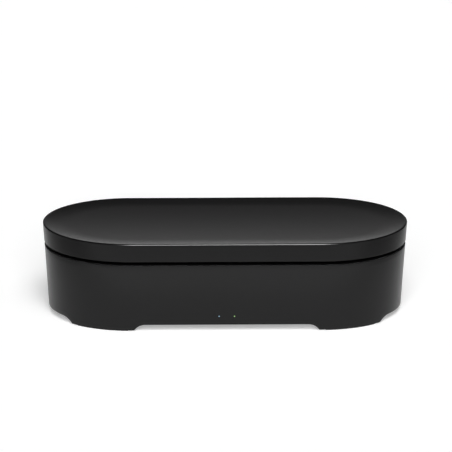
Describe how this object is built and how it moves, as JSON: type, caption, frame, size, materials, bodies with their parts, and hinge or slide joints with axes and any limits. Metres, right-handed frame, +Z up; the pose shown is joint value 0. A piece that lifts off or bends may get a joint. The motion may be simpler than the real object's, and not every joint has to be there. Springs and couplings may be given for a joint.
{
  "type": "uv sanitizer box",
  "caption": "Stadium-shaped black box on four low feet, with a hinged lid over a lamp-lit chamber for a phone and a charging dish on top.",
  "frame": {"origin": "on the floor, under the middle of the box", "axes": "+X along the box, -Y towards the front with the two indicators, +Z up"},
  "size_m": [0.225, 0.109, 0.056],
  "materials": {
    "body_plastic": "fine satin moulded black",
    "lid_plastic": "fine satin moulded black",
    "base_plastic": "matt black, lightly textured",
    "ring_plastic": "matt black",
    "chamber_plastic": "pale silver-grey, reflective",
    "button_plastic": "satin black",
    "foot_rubber": "matt",
    "seal_rubber": "matt",
    "rest_silicone": "translucent white silicone",
    "quartz": "clear",
    "lamp_board_metal": "white solder mask on aluminium",
    "lamp_gold": "gold-plated lamp base",
    "lead_white": "wire insulation",
    "harness_black": "wire insulation",
    "board_green": "glass-fibre board with solder mask",
    "component_black": "moulded component bodies",
    "component_white": "natural nylon",
    "screw_steel": "zinc-plated",
    "hinge_steel": "black-coated steel",
    "inlet_steel": "nickel-plated",
    "lens_blue": "pale blue, clear",
    "lens_green": "pale green, clear",
    "ferrite": "dark grey sheet",
    "coil_copper": "enamelled copper wire"
  },
  "bodies": {
    "base": {"body_shell": "body_plastic", "base_plate": "base_plastic", "base_screws": "screw_steel", "foot_pads": "foot_rubber", "uv_tub": "chamber_plastic", "rim_ring": "ring_plastic", "lid_seal": "seal_rubber", "phone_rests": "rest_silicone", "lower_windows": "quartz", "lower_uv_boards": "lamp_board_metal", "lower_uv_leds": "lamp_gold", "lower_board_screws": "screw_steel", "lower_uv_leads": "lead_white", "main_board": "board_green", "main_board_parts": "component_black", "main_board_screws": "screw_steel", "power_inlet": "inlet_steel", "status_leds": "component_white", "sanitize_light_pipe": "lens_blue", "charge_light_pipe": "lens_green", "start_switch": "component_black", "lid_switch": "component_black", "lid_switch_lead": "lead_white", "hinge_brackets": "hinge_steel", "hinge_pins": "screw_steel", "hinge_screws": "screw_steel", "body_harness": "harness_black"},
    "lid": {"lid_shell": "lid_plastic", "lid_liner": "chamber_plastic", "liner_screws": "screw_steel", "upper_windows": "quartz", "upper_uv_boards": "lamp_board_metal", "upper_uv_leds": "lamp_gold", "upper_board_screws": "screw_steel", "upper_uv_leads": "lead_white", "coil_carrier": "component_white", "ferrite_plate": "ferrite", "charging_coil": "coil_copper", "coil_board": "board_green", "lid_hinge_arms": "hinge_steel", "lid_harness": "harness_black"},
    "button": {"start_button": "button_plastic"},
    "plunger": {"lid_switch_plunger": "component_white"}
  },
  "joints": [
    {"name": "lid_hinge", "type": "hinge", "parent": "base", "child": "lid", "pos_m": [0, 0.0513, 0.043], "axis": [-1, 0, 0], "range_deg": [0, 95]},
    {"name": "start_press", "type": "slide", "parent": "base", "child": "button", "axis": [0, -1, 0], "range_m": [0, 0.0005], "stiffness_N_per_m": 300, "springref_m": -0.001},
    {"name": "lid_switch_rise", "type": "slide", "parent": "base", "child": "plunger", "axis": [0, 0, 1], "range_m": [0, 0.0015]}
  ],
  "couplings": [
    {"joint": "lid_switch_rise", "follows": "lid_hinge", "m_per_rad": 0.0009}
  ]
}
